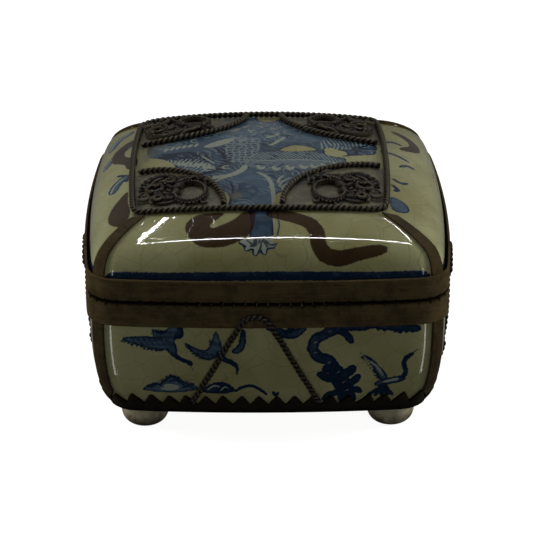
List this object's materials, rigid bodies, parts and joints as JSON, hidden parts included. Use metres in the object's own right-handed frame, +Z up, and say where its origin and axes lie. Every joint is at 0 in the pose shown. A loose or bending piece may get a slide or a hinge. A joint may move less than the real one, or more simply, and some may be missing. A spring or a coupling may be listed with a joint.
{
  "type": "lidded porcelain box",
  "caption": "Square crackle-glazed porcelain box on bun feet, with a domed lift-off lid, bound in dark brass strips and twisted wire.",
  "frame": {"origin": "on the ground, under the middle of the box", "axes": "+Z up; the side with the pine and cranes faces -Y; +X is to the right seen from that side"},
  "size_m": [0.124, 0.124, 0.0803],
  "materials": {
    "crackled_glaze": "clear gloss glaze with fine brown crackle",
    "dark_brass": "antiqued, dull"
  },
  "bodies": {
    "root": {"base_porcelain": "crackled_glaze", "lid_porcelain": "crackled_glaze", "base_rim_strip": "dark_brass", "lid_rim_strip": "dark_brass", "foot_strip": "dark_brass", "lid_frame_wire": "dark_brass", "base_strap_front_left": "dark_brass", "base_strap_front_right": "dark_brass", "base_strap_back_right": "dark_brass", "base_strap_back_left": "dark_brass", "lid_strap_front_left": "dark_brass", "lid_strap_front_right": "dark_brass", "lid_strap_back_right": "dark_brass", "lid_strap_back_left": "dark_brass", "spandrel_wire_front_left": "dark_brass", "spandrel_wire_front_right": "dark_brass", "spandrel_wire_back_right": "dark_brass", "spandrel_wire_back_left": "dark_brass", "dragon_front_left": "dark_brass", "dragon_front_right": "dark_brass", "dragon_back_right": "dark_brass", "dragon_back_left": "dark_brass", "arch_wire_front": "dark_brass", "arch_wire_right": "dark_brass", "arch_wire_back": "dark_brass", "arch_wire_left": "dark_brass"}
  },
  "joints": []
}
